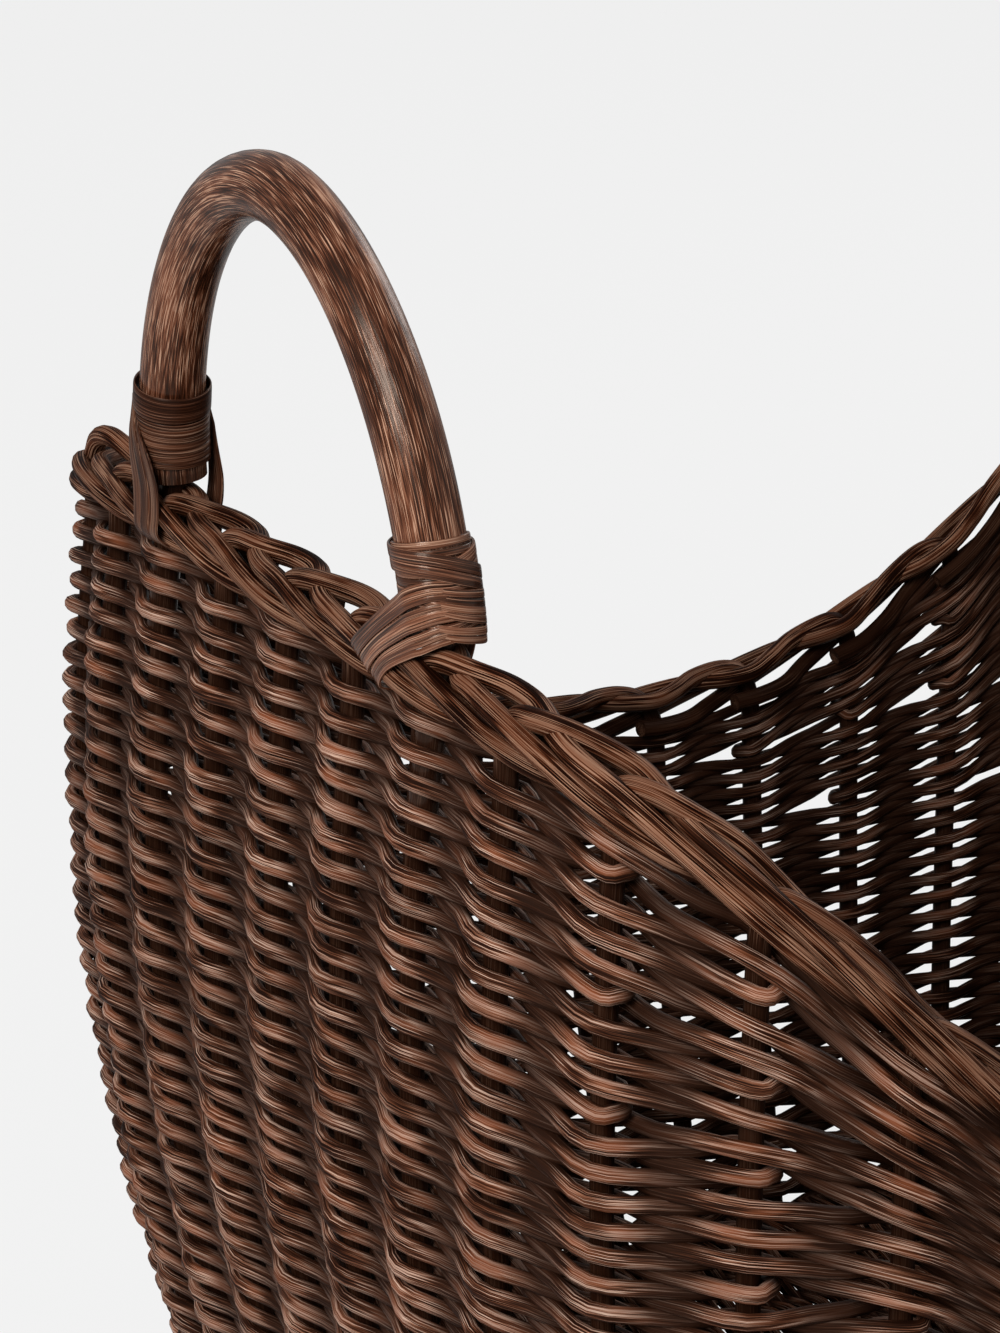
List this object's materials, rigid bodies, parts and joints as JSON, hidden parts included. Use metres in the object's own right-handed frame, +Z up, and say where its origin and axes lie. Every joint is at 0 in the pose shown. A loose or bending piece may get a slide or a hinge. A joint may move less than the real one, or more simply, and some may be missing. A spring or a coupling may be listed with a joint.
{
  "type": "basket",
  "caption": "Open woven rattan storage basket with a rounded plan, high ends, dipped long sides and an arched pole handle lashed to each end.",
  "frame": {"origin": "on the floor, under the middle of the basket", "axes": "+X along the basket towards one handle, +Y across it, +Z up"},
  "size_m": [0.553, 0.4668, 0.5057],
  "materials": {
    "weave": "dark stained cane, satin",
    "border": "dark stained cane, satin",
    "base": "dark stained cane, dull",
    "pole": "dark stained pole with its skin on, semi-gloss",
    "peel": "dark stained cane peel, semi-gloss"
  },
  "bodies": {
    "root": {"woven_side": "weave", "rim_border": "border", "foot_border": "border", "base_mat": "base", "base_stick_1": "base", "base_stick_2": "base", "base_stick_3": "base", "base_stick_4": "base", "base_stick_5": "base", "handle_left": "pole", "handle_right": "pole", "lashing_left_plain": "peel", "lashing_left_fan": "peel", "lashing_right_plain": "peel", "lashing_right_fan": "peel", "outer_strap_left_plain": "peel", "outer_strap_left_fan": "peel", "outer_strap_right_plain": "peel", "outer_strap_right_fan": "peel", "inner_strap_left_plain": "peel", "inner_strap_left_fan": "peel", "inner_strap_right_plain": "peel", "inner_strap_right_fan": "peel"}
  },
  "joints": []
}
